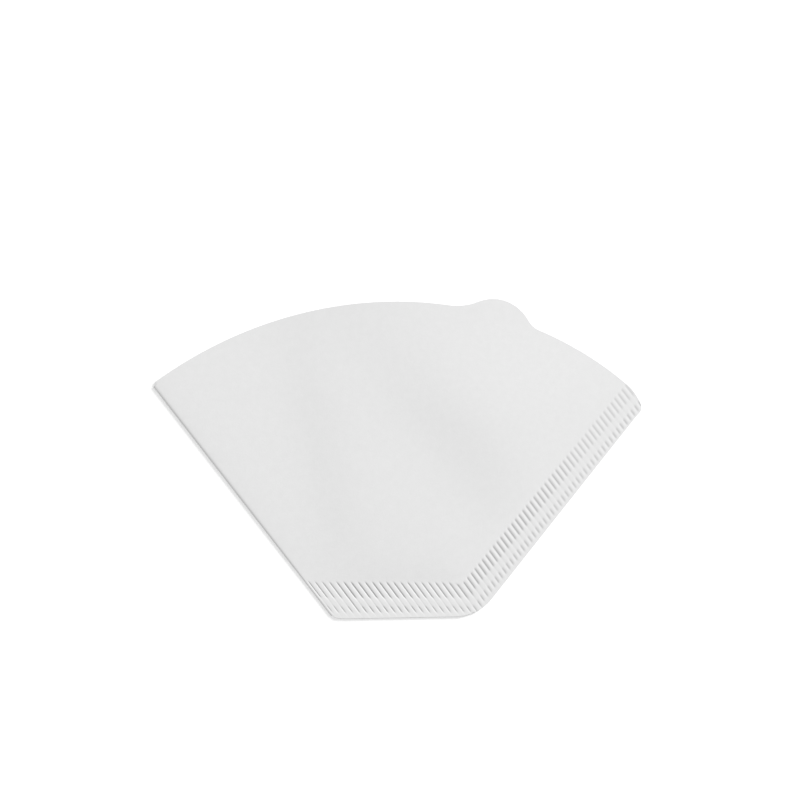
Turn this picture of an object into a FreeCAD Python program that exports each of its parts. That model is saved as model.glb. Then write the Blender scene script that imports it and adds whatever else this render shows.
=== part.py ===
import FreeCAD, Part
import math
import os
import Sketcher
from FreeCAD import Placement, Rotation, Vector

# A flat-folded cone coffee filter: one sheet of paper, folded down its left side and crimped
# along its right side and its bottom. It lies on its back wall, with its open mouth towards +Y.
# Lengths are in millimetres and angles in degrees.

SIZES = {
    # The fan: both sides point at one apex, and the mouth is an arc about it.
    "mouth_radius": (148.0, "apex to the mouth's rim"),
    "half_angle": (39.28, "centre line to each side"),
    "bottom_distance": (33.4, "apex to the bottom edge"),
    "origin_height": (92.0, "apex to the frame's origin, up the centre line"),
    # Corners of the fan.
    "bottom_seam_radius": (18.0, "rounded corner where the two crimped edges meet"),
    "bottom_fold_radius": (3.0, "corner of the fold and the bottom edge"),
    "top_fold_radius": (1.0, "corner of the fold and the mouth"),
    "shoulder_radius": (20.0, "rim where it drops towards the crimped side"),
    "shoulder_angle": (34.7, "centre line to the start of that drop"),
    "tip_radius": (3.0, "corner of the mouth and the crimped side"),
    # The thumb tab on the mouth's rim.
    "tab_angle": (12.35, "centre line to the middle of the tab"),
    "tab_rise": (6.1, "top of the tab above the rim"),
    "tab_radius": (16.0, "crest of the tab"),
    "tab_left_radius": (25.0, "hollow on the tab's left"),
    "tab_right_radius": (8.0, "hollow on the tab's right"),
    # The paper, the fold and the pocket between the two walls.
    "paper": (0.18, "thickness of one wall"),
    "wall_lift": (0.6, "how far the front wall stands off the pressed edges"),
    "mouth_crown": (0.5, "extra height of the front wall at the middle of the mouth"),
    "fold_ease": (4.0, "distance over which the front wall lifts off the fold"),
    "seam_ease": (9.0, "distance over which the front wall lifts off a seam"),
    "pocket_corner": (2.0, "roundness of the lift where the two seams meet"),
    "flute_height": (0.4, "rise and fall of the soft flutes in the front wall"),
    "flute_spacing": (38.5, "from one flute to the next"),
    "flute_angle": (40.0, "centre line to the run of the flutes"),
    "flute_first": (44.0, "apex to the crest of the first flute"),
    # The crimp: two rows of slanted teeth along each seam.
    "crimp_depth": (0.3, "depth of the teeth"),
    "tooth_width": (0.95, "width of a tooth at the paper's face"),
    "crimp_turn": (0.75, "turn of the whole crimp against the cut edges"),
    "row_margin": (2.2, "cut edge to the short row"),
    "row_gap": (3.1, "short row to the long row"),
    "pocket_margin": (0.6, "long row to the pocket"),
    "bottom_short_row": (1.6, "width of the bottom's short row"),
    "bottom_long_row": (5.4, "width of the bottom's long row"),
    "side_short_row": (2.6, "width of the side's short row"),
    "side_long_row": (5.1, "width of the side's long row"),
    "bottom_pitch": (2.64, "tooth to tooth along the bottom"),
    "bottom_lean": (39.5, "slant of the bottom's teeth"),
    "bottom_first": (-59.56, "corner to the first tooth of the bottom"),
    "bottom_teeth": (21, "number of teeth along the bottom"),
    "side_pitch": (2.225, "tooth to tooth along the side"),
    "side_lean": (-8.7, "slant of the side's teeth"),
    "side_first": (5.61, "corner to the first tooth of the side"),
    "side_teeth": (45, "number of teeth along the side"),
}

# Allowances that keep helper solids clear of the faces they cut, not sizes of the filter.
CLEAR = 1.0
OVERLAP = 0.3
FLAT_SPOT = 0.03

# How finely the front wall's surface is drawn.
SECTIONS = 7
STEPS_ACROSS = 12

doc = FreeCAD.newDocument("coffee_filter")
sheet = doc.addObject("Spreadsheet::Sheet", "sizes")
for row, (name, (value, meaning)) in enumerate(SIZES.items(), start=1):
    sheet.set(f"A{row}", meaning)
    sheet.set(f"B{row}", str(value))
    sheet.setAlias(f"B{row}", name)
doc.recompute()


def size(name):
    return float(sheet.get(name))


def polar(distance, angle):
    """The point at a distance from the apex, at an angle from the centre line."""
    turn = math.radians(angle)
    return Vector(distance * math.sin(turn), distance * math.cos(turn), 0)


class Profile:
    """One sketch of a body, with its lines and arcs bound to the spreadsheet."""

    def __init__(self, body, name, plane="XY_Plane"):
        self.sketch = body.newObject("Sketcher::SketchObject", name)
        support = [f for f in body.Origin.OriginFeatures if f.Role == plane][0]
        self.sketch.AttachmentSupport = [(support, "")]
        self.sketch.MapMode = "FlatFace"

    def line(self, start, end, guide=False):
        """A line and its two ends, in the order given."""
        edge = self.sketch.addGeometry(Part.LineSegment(start, end), guide)
        return edge, 1, 2

    def arc(self, centre, start, end):
        """The shorter arc between two points, and which of its ends comes first."""
        spokes = (start - centre, end - centre)
        angles = [math.atan2(spoke.y, spoke.x) for spoke in spokes]
        forward = (angles[1] - angles[0]) % (2 * math.pi) < math.pi
        circle = Part.Circle(centre, Vector(0, 0, 1), spokes[0].Length)
        first, last = angles if forward else reversed(angles)
        edge = self.sketch.addGeometry(Part.ArcOfCircle(circle, first, last))
        return (edge, 1, 2) if forward else (edge, 2, 1)

    def hold(self, *constraint):
        return self.sketch.addConstraint(Sketcher.Constraint(*constraint))

    def bind(self, formula, *constraint):
        index = self.hold(*constraint)
        self.sketch.setExpression(f"Constraints[{index}]", formula)

    def chain(self, kind, edges):
        """Joins each edge's end to the next one's start, all the way round."""
        for edge, following in zip(edges, edges[1:] + edges[:1]):
            self.hold(kind, edge[0], edge[2], following[0], following[1])


def new_body(name):
    body = doc.addObject("PartDesign::Body", name)
    body.AllowCompound = True
    return body


def pad(body, sketch, height, midplane=False):
    feature = body.newObject("PartDesign::Pad", body.Name + "_pad")
    feature.Profile = sketch
    feature.Midplane = midplane
    feature.setExpression("Length", height)
    return feature


def combine(kind, name, base, tool):
    result = doc.addObject(kind, name)
    result.Base = base
    result.Tool = tool
    return result


# Directions and corners of the fan, seen from above with the apex at the origin.
APEX = Vector(0, 0, 0)
UP = Vector(0, 1, 0)
SIDE_RUN = polar(1, size("half_angle"))
FOLD_RUN = polar(1, -size("half_angle"))
SEAM_CORNER = SIDE_RUN * (size("bottom_distance") / SIDE_RUN.y)
FOLD_CORNER = FOLD_RUN * (size("bottom_distance") / FOLD_RUN.y)
CORNER_TURN = 90 - size("half_angle")


def hollow_centre(radius, tab_centre, side):
    """Centre of the arc that touches the rim from outside and the tab's crest."""
    to_rim = size("mouth_radius") + radius
    to_crest = size("tab_radius") + radius
    reach = tab_centre.Length
    cosine = (to_rim**2 + reach**2 - to_crest**2) / (2 * to_rim * reach)
    return polar(to_rim, size("tab_angle") + side * math.degrees(math.acos(cosine)))


def outline(body):
    """The cut edge and the fold: a fan with four different corners and a tab."""
    profile = Profile(body, body.Name + "_outline")
    rim = size("mouth_radius")
    inward = Vector(-SIDE_RUN.y, SIDE_RUN.x, 0)

    radius = size("bottom_seam_radius")
    reach = radius * math.tan(math.radians(CORNER_TURN) / 2)
    seam_low = SEAM_CORNER - Vector(reach, 0, 0)
    seam_high = SEAM_CORNER + SIDE_RUN * reach
    seam_centre = seam_low + UP * radius

    shoulder, tip = size("shoulder_radius"), size("tip_radius")
    shoulder_centre = polar(rim - shoulder, size("shoulder_angle"))
    shoulder_top = polar(rim, size("shoulder_angle"))
    offset = inward * tip - shoulder_centre
    half_chord = math.sqrt((shoulder - tip) ** 2 - offset.dot(inward) ** 2)
    tip_centre = inward * tip + SIDE_RUN * (half_chord - offset.dot(SIDE_RUN))
    tip_low = tip_centre - inward * tip
    tip_high = tip_centre + (tip_centre - shoulder_centre).normalize() * tip

    crest = size("tab_radius")
    tab_centre = polar(rim + size("tab_rise") - crest, size("tab_angle"))
    hollows = []
    for side, name in ((1, "tab_right_radius"), (-1, "tab_left_radius")):
        centre = hollow_centre(size(name), tab_centre, side)
        on_rim = centre * (rim / centre.Length)
        on_crest = tab_centre + (centre - tab_centre).normalize() * crest
        hollows.append((centre, on_rim, on_crest))
    (right_centre, right_rim, right_crest), (left_centre, left_rim, left_crest) = hollows

    radius = size("top_fold_radius")
    swing = math.degrees(math.asin(radius / (rim - radius)))
    top_centre = polar(rim - radius, swing - size("half_angle"))
    top_rim = top_centre * (rim / top_centre.Length)
    top_side = FOLD_RUN * top_centre.dot(FOLD_RUN)

    radius = size("bottom_fold_radius")
    reach = radius * math.tan(math.radians(CORNER_TURN) / 2)
    low_side = FOLD_CORNER + FOLD_RUN * reach
    low_bottom = FOLD_CORNER + Vector(reach, 0, 0)
    low_centre = low_bottom + UP * radius

    bottom = profile.line(low_bottom, seam_low)
    seam_arc = profile.arc(seam_centre, seam_low, seam_high)
    side = profile.line(seam_high, tip_low)
    tip_arc = profile.arc(tip_centre, tip_low, tip_high)
    drop = profile.arc(shoulder_centre, tip_high, shoulder_top)
    rim_right = profile.arc(APEX, shoulder_top, right_rim)
    hollow_right = profile.arc(right_centre, right_rim, right_crest)
    tab = profile.arc(tab_centre, right_crest, left_crest)
    hollow_left = profile.arc(left_centre, left_crest, left_rim)
    rim_left = profile.arc(APEX, left_rim, top_rim)
    top_arc = profile.arc(top_centre, top_rim, top_side)
    fold = profile.line(top_side, low_side)
    low_arc = profile.arc(low_centre, low_side, low_bottom)
    profile.chain("Tangent", [
        bottom, seam_arc, side, tip_arc, drop, rim_right, hollow_right, tab,
        hollow_left, rim_left, top_arc, fold, low_arc])

    for edge, name in ((seam_arc, "bottom_seam_radius"), (tip_arc, "tip_radius"),
                       (drop, "shoulder_radius"), (rim_right, "mouth_radius"),
                       (hollow_right, "tab_right_radius"), (tab, "tab_radius"),
                       (hollow_left, "tab_left_radius"), (rim_left, "mouth_radius"),
                       (top_arc, "top_fold_radius"), (low_arc, "bottom_fold_radius")):
        profile.bind(f"sizes.{name}", "Radius", edge[0], size(name))
    for edge in (rim_right, rim_left):
        profile.hold("Coincident", edge[0], 3, -1, 1)
    for edge in (side, fold):
        profile.hold("PointOnObject", -1, 1, edge[0])
    profile.hold("Horizontal", bottom[0])
    profile.bind("sizes.bottom_distance", "DistanceY", -1, 1, bottom[0], 1,
                 size("bottom_distance"))
    profile.bind("90 - sizes.half_angle", "Angle", side[0], math.radians(CORNER_TURN))
    profile.bind("sizes.half_angle - 90", "Angle", fold[0], -math.radians(CORNER_TURN))

    shoulder_guide = profile.line(APEX, shoulder_top, guide=True)
    tab_guide = profile.line(APEX, tab_centre, guide=True)
    for guide, (edge, end), name in ((shoulder_guide, (drop[0], drop[2]), "shoulder_angle"),
                                     (tab_guide, (tab[0], 3), "tab_angle")):
        profile.hold("Coincident", guide[0], 1, -1, 1)
        profile.hold("Coincident", guide[0], 2, edge, end)
        profile.bind(f"90 - sizes.{name}", "Angle", guide[0],
                     math.radians(90 - size(name)))
    profile.bind("sizes.mouth_radius + sizes.tab_rise - sizes.tab_radius",
                 "Distance", tab_guide[0], tab_centre.Length)
    return profile.sketch


def blank(name, height):
    """A flat blank of the filter's outline."""
    body = new_body(name)
    pad(body, outline(body), height)
    return body


# The crimp's two tracks. Each has its own frame at the seams' corner: local X runs along
# the cut edge and local Y points into the sheet. The crimp is turned a little as a whole.
def track_placement(edge_angle):
    turn = Rotation(Vector(0, 0, 1), edge_angle - size("crimp_turn"))
    return Placement(SEAM_CORNER, turn)


TRACKS = {"bottom": track_placement(0), "side": track_placement(CORNER_TURN)}
SEAM_THICKNESS = "2 * sizes.paper + sizes.crimp_depth"
SEAM_HEIGHT = 2 * size("paper") + size("crimp_depth")


def seam_width(track):
    rows = size(f"{track}_short_row") + size(f"{track}_long_row")
    return size("row_margin") + size("row_gap") + rows + size("pocket_margin")


def seam_formula(track):
    return (f"sizes.row_margin + sizes.{track}_short_row + sizes.row_gap"
            f" + sizes.{track}_long_row + sizes.pocket_margin")


def strip(name, track, low, width):
    """A long block beside one cut edge, from a distance inwards and over a width."""
    body = new_body(name)
    profile = Profile(body, name + "_plan")
    start, breadth, reach = 1.0, 1.0, 2 * size("mouth_radius")
    corners = [Vector(-reach, start, 0), Vector(reach, start, 0),
               Vector(reach, start + breadth, 0), Vector(-reach, start + breadth, 0)]
    edges = [profile.line(a, b) for a, b in zip(corners, corners[1:] + corners[:1])]
    profile.chain("Coincident", edges)
    for edge, kind in zip(edges, ("Horizontal", "Vertical") * 2):
        profile.hold(kind, edge[0])
    profile.bind("4 * sizes.mouth_radius", "DistanceX", edges[0][0], 1, edges[0][0], 2,
                 2 * reach)
    profile.bind("-2 * sizes.mouth_radius", "DistanceX", -1, 1, edges[0][0], 1, -reach)
    profile.bind(low, "DistanceY", -1, 1, edges[0][0], 1, start)
    profile.bind(width, "DistanceY", edges[1][0], 1, edges[1][0], 2, breadth)
    pad(body, profile.sketch, "40 * sizes.wall_lift", midplane=True)
    body.Placement = TRACKS[track]
    return body


def pocket_zone(name, margin):
    """Everything above the bottom seam and inside the side seam."""
    sides = []
    for track in TRACKS:
        low = seam_formula(track) + f" - {margin}"
        sides.append(strip(f"{name}_{track}", track, low, "2 * sizes.mouth_radius"))
    return combine("Part::Common", name, *sides)


# The front wall
def distance_inside(track, x, y):
    """How far a point lies inside the seam of one track."""
    local = TRACKS[track].inverse().multVec(Vector(x, y, 0))
    return local.y - seam_width(track)


def distance_from_fold(x, y):
    """How far a point lies inside the middle of the fold's round edge."""
    turn = math.radians(size("half_angle"))
    return x * math.cos(turn) + y * math.sin(turn) - SEAM_HEIGHT / 2


def front_height(x, y):
    """Outside height of the front wall: it lifts off the fold and the two seams over a
    short way, stands highest at the middle of the mouth, and carries soft flutes. Beyond
    the fold or a seam it dips below the seam's face, so that it ends inside the sheet."""
    bottom, side = (distance_inside(track, x, y) for track in TRACKS)
    nearest = (bottom + side - math.hypot(bottom - side, size("pocket_corner"))) / 2
    off_seams = 1 - math.exp(-nearest / size("seam_ease"))
    off_fold = 1 - math.exp(-distance_from_fold(x, y) / size("fold_ease"))
    up_the_fan = y / size("mouth_radius")
    across = math.degrees(math.atan2(x, y)) / size("half_angle")
    crown = size("mouth_crown") * up_the_fan**2 * max(0.0, 1 - across**2)
    turn = math.radians(size("flute_angle"))
    past_first = x * math.cos(turn) + y * math.sin(turn) - size("flute_first")
    wave = math.cos(2 * math.pi * past_first / size("flute_spacing"))
    flute = size("flute_height") / 2 * wave
    lift = (size("wall_lift") + crown + flute) * off_fold * off_seams
    return SEAM_HEIGHT + math.copysign(lift, min(off_fold, off_seams))


def wall_section(y, inset):
    """One section across the fan, under the front wall's outer face or, with the paper's
    thickness as inset, under its inner face. Its points crowd towards the fold."""
    fold_x = (SEAM_HEIGHT / 2 - OVERLAP) / math.cos(math.radians(size("half_angle")))
    fold_x -= y * math.tan(math.radians(size("half_angle")))
    side = TRACKS["side"]
    inner = side.multVec(Vector(0, seam_width("side") - OVERLAP - CLEAR, 0))
    run = side.Rotation.multVec(Vector(1, 0, 0))
    seam_x = inner.x + run.x * (y - inner.y) / run.y

    spacing = [(step / STEPS_ACROSS) ** 1.6 for step in range(STEPS_ACROSS + 1)]
    points = []
    for share in spacing:
        x = fold_x + (seam_x - fold_x) * share
        points.append(Vector(x, y, front_height(x, y) - inset))
    curve = Part.BSplineCurve()
    curve.interpolate(Points=points, Parameters=spacing)
    below = [points[-1], Vector(seam_x, y, -CLEAR), Vector(fold_x, y, -CLEAR), points[0]]
    lines = [Part.makeLine(a, b) for a, b in zip(below, below[1:])]
    return Part.Wire([curve.toShape()] + lines)


def wall_block(name, inset):
    """The solid under the front wall's face, from the bottom seam to above the mouth."""
    lowest = size("bottom_distance") + seam_width("bottom") - CLEAR
    highest = size("mouth_radius") + size("tab_rise") + CLEAR
    sections = []
    for step in range(SECTIONS):
        y = lowest + (highest - lowest) * step / (SECTIONS - 1)
        section = doc.addObject("Part::Feature", f"{name}_section_{step + 1}")
        section.Shape = wall_section(y, inset)
        sections.append(section)
    block = doc.addObject("Part::Loft", name)
    block.Sections = sections
    block.Solid = True
    block.Ruled = False
    return block


# The teeth of the crimp
def tooth_row(track, face):
    """Wedges that press one track's teeth into the front or the back of the seam. Those
    of the back lie halfway between those of the front."""
    name = f"{track}_{face}_teeth"
    body = new_body(name)
    profile = Profile(body, name + "_section", "XZ_Plane")
    depth, width = size("crimp_depth"), size("tooth_width")
    out = 1 if face == "front" else -1
    level = SEAM_HEIGHT if face == "front" else 0.0
    root = Vector(0, level - out * depth, 0)
    wide, high = width / 2 * (depth + OVERLAP) / depth, level + out * OVERLAP
    points = [root, Vector(wide, high, 0), Vector(-wide, high, 0)]
    edges = [profile.line(a, b) for a, b in zip(points, points[1:] + points[:1])]
    profile.chain("Coincident", edges)
    profile.hold("Symmetric", edges[1][0], 1, edges[1][0], 2, -2)
    profile.hold("PointOnObject", edges[0][0], 1, -2)
    surface = f"({SEAM_THICKNESS})" if face == "front" else "0"
    profile.bind(f"{surface} - {out} * sizes.crimp_depth", "DistanceY", -1, 1,
                 edges[0][0], 1, root.y)
    profile.bind(f"{surface} + {out} * {OVERLAP}", "DistanceY", -1, 1, edges[1][0], 1, high)
    profile.bind(f"sizes.tooth_width * (1 + {OVERLAP} / sizes.crimp_depth)", "Distance",
                 edges[1][0], 2 * wide)
    lean = f"sizes.{track}_lean"
    slide = f"sizes.{track}_teeth * sizes.{track}_pitch * abs(sin({lean}))"
    wedge = pad(body, profile.sketch, f"2 * ({slide} + {seam_formula(track)}) / cos({lean})",
                midplane=True)

    pattern = body.newObject("PartDesign::LinearPattern", name + "_pattern")
    pattern.Originals = [wedge]
    pattern.Direction = (profile.sketch, ["H_Axis"])
    pattern.setExpression("Occurrences", f"sizes.{track}_teeth")
    pattern.setExpression(
        "Length", f"(sizes.{track}_teeth - 1) * sizes.{track}_pitch * cos({lean})")
    body.Tip = pattern

    shift = 0.0 if face == "front" else size(f"{track}_pitch") / 2
    middle = seam_width(track) - size("pocket_margin") - size(f"{track}_long_row") / 2
    start = Vector(size(f"{track}_first") + shift, middle, 0)
    turn = Rotation(Vector(0, 0, 1), size(f"{track}_lean"))
    body.Placement = TRACKS[track].multiply(Placement(start, turn))
    return body


def crimp(track, face):
    """One track's teeth, kept to its short row and its long row."""
    teeth = tooth_row(track, face)
    short = strip(f"{track}_{face}_short_row", track, "sizes.row_margin",
                  f"sizes.{track}_short_row")
    long = strip(f"{track}_{face}_long_row", track,
                 f"sizes.row_margin + sizes.{track}_short_row + sizes.row_gap",
                 f"sizes.{track}_long_row")
    rows = combine("Part::Fuse", f"{track}_{face}_rows", short, long)
    return combine("Part::Common", f"{track}_{face}_crimp", teeth, rows)


# The sheet and its pocket
def round_edged_plate(name, inset):
    """A wide plate whose round edge follows the fold, for its outer face or, inset by the
    paper's thickness, for its inner one."""
    body = new_body(name)
    profile = Profile(body, name + "_section", "XZ_Plane")
    middle, reach = SEAM_HEIGHT / 2, 2 * size("mouth_radius")
    radius = middle - inset * size("paper") + FLAT_SPOT
    across = middle + FLAT_SPOT
    centre = Vector(across, middle, 0)
    left, low, high = centre - Vector(radius, 0, 0), centre - UP * radius, centre + UP * radius
    edges = [profile.arc(centre, high, left), profile.arc(centre, left, low),
             profile.line(low, Vector(reach, low.y, 0)),
             profile.line(Vector(reach, low.y, 0), Vector(reach, high.y, 0)),
             profile.line(Vector(reach, high.y, 0), high)]
    joints = ("Tangent", "Tangent", "Coincident", "Coincident", "Tangent")
    for edge, following, joint in zip(edges, edges[1:] + edges[:1], joints):
        profile.hold(joint, edge[0], edge[2], following[0], following[1])
    profile.hold("Coincident", edges[0][0], 3, edges[1][0], 3)
    for edge, kind in zip(edges[2:], ("Horizontal", "Vertical", "Horizontal")):
        profile.hold(kind, edge[0])
    half = f"({SEAM_THICKNESS}) / 2"
    profile.bind(f"{half} - {inset} * sizes.paper + {FLAT_SPOT}", "Radius", edges[0][0],
                 radius)
    profile.bind(half, "DistanceY", -1, 1, edges[0][0], 3, middle)
    profile.bind(f"{half} + {FLAT_SPOT}", "DistanceX", -1, 1, edges[0][0], 3, across)
    profile.bind("2 * sizes.mouth_radius", "DistanceX", -1, 1, edges[2][0], 2, reach)
    pad(body, profile.sketch, "4 * sizes.mouth_radius", midplane=True)
    body.Placement = Placement(APEX, Rotation(Vector(0, 0, 1), size("half_angle")))
    return body


def slab(name, floor, height):
    """A slab over the whole sheet that keeps what lies between two heights."""
    body = new_body(name)
    profile = Profile(body, name + "_plan")
    rim = profile.sketch.addGeometry(Part.Circle(APEX, Vector(0, 0, 1), 2 * size("mouth_radius")))
    profile.hold("Coincident", rim, 3, -1, 1)
    profile.bind("2 * sizes.mouth_radius", "Radius", rim, 2 * size("mouth_radius"))
    profile.sketch.setExpression("AttachmentOffset.Base.z", floor)
    pad(body, profile.sketch, height)
    return body


# Without its pocket, the sheet is a flat blank with a round fold and the front wall that
# stands off it.
flat = combine("Part::Common", "flat_blank",
               blank("pressed_blank", SEAM_THICKNESS), round_edged_plate("outer_fold", 0))
region = combine("Part::Common", "front_region",
                 blank("front_blank", "10 * sizes.wall_lift"),
                 pocket_zone("front_zone", OVERLAP))
front = combine("Part::Common", "front_wall", region, wall_block("front_block", 0.0))
closed = combine("Part::Fuse", "closed_filter", flat, front)

# The pocket: the same two forms, one thickness of paper further in.
fold_hollow = combine("Part::Common", "fold_hollow",
                      slab("fold_slab", "sizes.paper", "sizes.crimp_depth"),
                      round_edged_plate("inner_fold", 1))
hollow = combine("Part::Fuse", "hollow", fold_hollow,
                 combine("Part::Common", "wall_hollow",
                         slab("wall_slab", "sizes.paper", "10 * sizes.wall_lift"),
                         wall_block("hollow_block", size("paper"))))
pocket = combine("Part::Common", "pocket", hollow, pocket_zone("pocket_zone", 0))
folded = combine("Part::Cut", "folded_filter", closed, pocket)

crimps = doc.addObject("Part::MultiFuse", "crimps")
crimps.Shapes = [crimp(track, face) for track in TRACKS for face in ("front", "back")]
filter_paper = combine("Part::Cut", "filter_paper", folded, crimps)
filter_paper.Label = "filter_paper"
filter_paper.Placement = Placement(Vector(0, -size("origin_height"), 0), Rotation())
doc.recompute()

for item in doc.Objects:
    if any(word in item.State for word in ("Invalid", "Error")):
        raise RuntimeError(f"{item.Name} failed to build: {item.State}")
shape = filter_paper.Shape
if shape.isNull() or not shape.isValid() or len(shape.Solids) != 1:
    raise RuntimeError("filter_paper isn't one valid solid")

os.makedirs("parts", exist_ok=True)
shape.exportStep("parts/filter_paper.step")
box = shape.optimalBoundingBox(False)
print(f"filter_paper {box.XLength:.2f} x {box.YLength:.2f} x {box.ZLength:.2f} mm,"
      f" {shape.Volume:.0f} mm3")
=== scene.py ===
"""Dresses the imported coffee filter: one sheet of creped paper, folded down its left side and
crimped along its right side and its bottom. It lies on its back wall.

Lengths are in metres. Plan positions are measured from the fan's apex, the point where its
two sides would meet, and are moved into the frame when the mesh is made."""

import math

import bpy
import numpy as np
from bpy.props import FloatProperty, FloatVectorProperty, IntProperty, PointerProperty
from bpy.types import Operator, Panel, PropertyGroup
from mathutils import Euler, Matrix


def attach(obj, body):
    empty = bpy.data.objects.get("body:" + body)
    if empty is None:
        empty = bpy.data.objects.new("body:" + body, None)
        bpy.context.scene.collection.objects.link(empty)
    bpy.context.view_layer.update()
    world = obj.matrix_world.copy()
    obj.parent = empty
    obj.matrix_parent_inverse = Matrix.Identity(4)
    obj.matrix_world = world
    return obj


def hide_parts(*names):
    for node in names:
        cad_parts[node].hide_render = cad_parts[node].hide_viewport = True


bl_info = {
    "name": "Coffee filter",
    "version": (1, 0, 0),
    "blender": (4, 5, 0),
    "location": "3D View > Sidebar > Filter",
    "description": "Builds a flat-folded paper coffee filter over its packed model",
    "category": "Object",
}

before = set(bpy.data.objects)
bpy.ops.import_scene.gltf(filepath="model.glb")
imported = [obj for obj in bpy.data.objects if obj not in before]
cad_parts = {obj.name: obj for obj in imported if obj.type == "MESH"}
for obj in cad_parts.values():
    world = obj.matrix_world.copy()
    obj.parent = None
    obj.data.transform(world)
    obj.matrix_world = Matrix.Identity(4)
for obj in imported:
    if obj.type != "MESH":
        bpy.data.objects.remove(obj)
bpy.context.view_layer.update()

# Points on each line of the outline
SMALL_CORNER, LARGE_CORNER, TOP_CORNER = 25, 60, 12
RIGHT_RIM, LEFT_RIM = 120, 300
TAB_CREST, TAB_LEFT, TAB_RIGHT = 60, 60, 40

# The seam's columns: where they stand about each groove, in teeth, how many there are before
# the first tooth and past the last one, and how many teeth wide the part past the last one is
TOOTH_COLUMNS = np.array([-0.42, -0.28, -0.18, -0.11, -0.055, 0,
                          0.055, 0.11, 0.18, 0.28, 0.42])
FOLD_COLUMNS, RIM_COLUMNS = 11, 4
PAST_LAST = 0.5
# The seam's rows: just outside and just inside the end of a row of teeth, at shares of the
# long row, and past it
OUTSIDE, INSIDE = 0.00035, 0.00045
LONG_ROW_SHARES = (0.3, 0.5, 0.7)
PAST_LONG_ROW = (0.0009, 0.0017)
# How far in a rounded corner may reach before it pushes the rows on
CORNER_CUT = 0.0014
# Where the rows end on the rim: how much further in the first one is than on the last line,
# how much further in the next one, less and less up to the last, and how far in any may be
RIM_START, RIM_SPREAD, RIM_REACH = 0.0003, 0.0002, 0.030
# Teeth on each side of the corner over which the bottom's rows turn into the side's
CORNER_TEETH = 1
# The pocket wall's grid and the points round the fold
WALL_COLUMNS, WALL_ROWS = 130, 56
FOLD_POINTS = 11

# Distance over which the two seams' edges of the pocket are blended at the corner
POCKET_ROUND = 0.002
# Distance over which a row of teeth begins and ends, on each side of its end
ROW_SOFT = 0.0004
# The line that runs through both rows: half its width, in teeth, and its strength between
UNBROKEN_WIDTH, UNBROKEN_SHARE = 0.3, 0.8
# How the crimp changes along the seam: a tooth, counted from the fold, the corner or the
# crimp's end, and the value there. First how hard the teeth press, then how much of each is a
# soft wave
STRENGTH = (("fold", 0, 0.6), ("fold", 2, 0.65), ("fold", 4, 0.95), ("corner", -11, 0.9),
            ("corner", -7, 0.7), ("corner", 14, 0.66), ("end", -20, 0.5), ("end", -15, 0.36),
            ("end", 0, 0.3))
BREADTH = (("corner", -6, 0.12), ("corner", 4, 0.6), ("end", -16, 0.68))
# Where the short row's share starts and ends its change, counted from the crimp's end
SHORT_CHANGE = (-22, -6)
# How far the back's teeth are shifted, and over how many teeth the step of the walls' cut
# edges comes in beside the mouth
BACK_SHIFT, STEP_FADE = 0.5, 3
# How far from the fold the paper is drawn in, as a multiple of the round edge's depth
FOLD_REACH = 3

# The noise of the paper: detail of its fibres, grain and clouds, the fibres' roughness, and
# how many times finer than the fibres the grain is
FIBRE_DETAIL, GRAIN_DETAIL, CLOUD_DETAIL = 3, 1, 4
FIBRE_ROUGHNESS, GRAIN_FINENESS = 0.6, 3


def length(name, description, default):
    """A property in metres."""
    return FloatProperty(name=name, description=description, default=default,
                         unit="LENGTH", precision=5)


def spot(name, description, default):
    """A property that holds a point in plan, in metres from the apex."""
    return FloatVectorProperty(name=name, description=description, default=default,
                               size=2, unit="LENGTH", precision=5)


def angle(name, description, degrees):
    """A property that holds an angle, given in degrees."""
    return FloatProperty(name=name, description=description, subtype="ANGLE",
                         default=math.radians(degrees))


def factor(name, description, default):
    """A property that holds a share or a strength."""
    return FloatProperty(name=name, description=description, default=default,
                         subtype="FACTOR", soft_min=0, soft_max=2, precision=4)


def count(name, description, default):
    """A property that holds a whole number."""
    return IntProperty(name=name, description=description, default=default, min=1)


class FanSizes(PropertyGroup):
    """The outline of the folded sheet."""
    mouth_radius: length("Mouth radius", "Apex to the mouth's rim", 0.148)
    half_angle: angle("Half angle", "Centre line to each side", 39.28)
    bottom: length("Bottom", "Apex to the bottom edge", 0.0334)
    origin: length("Origin", "Apex to the frame's origin, up the centre line", 0.092)
    seam_corner: length("Seam corner", "Radius where the two crimped edges meet", 0.018)
    fold_corner: length("Fold corner", "Radius of the fold and the bottom edge", 0.003)
    top_corner: length("Top corner", "Radius of the fold and the mouth", 0.001)
    shoulder: length("Shoulder", "Radius of the rim's drop to the crimped side", 0.020)
    shoulder_angle: angle("Shoulder angle", "Centre line to the start of the drop", 34.7)
    tip: length("Tip", "Radius where the mouth meets the crimped side", 0.003)
    tab_angle: angle("Tab angle", "Centre line to the middle of the thumb tab", 12.35)
    tab_rise: length("Tab rise", "Top of the thumb tab above the rim", 0.0061)
    tab: length("Tab", "Radius of the thumb tab's crest", 0.016)
    tab_left: length("Tab's left", "Radius of the hollow on the tab's left", 0.025)
    tab_right: length("Tab's right", "Radius of the hollow on the tab's right", 0.008)


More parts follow.
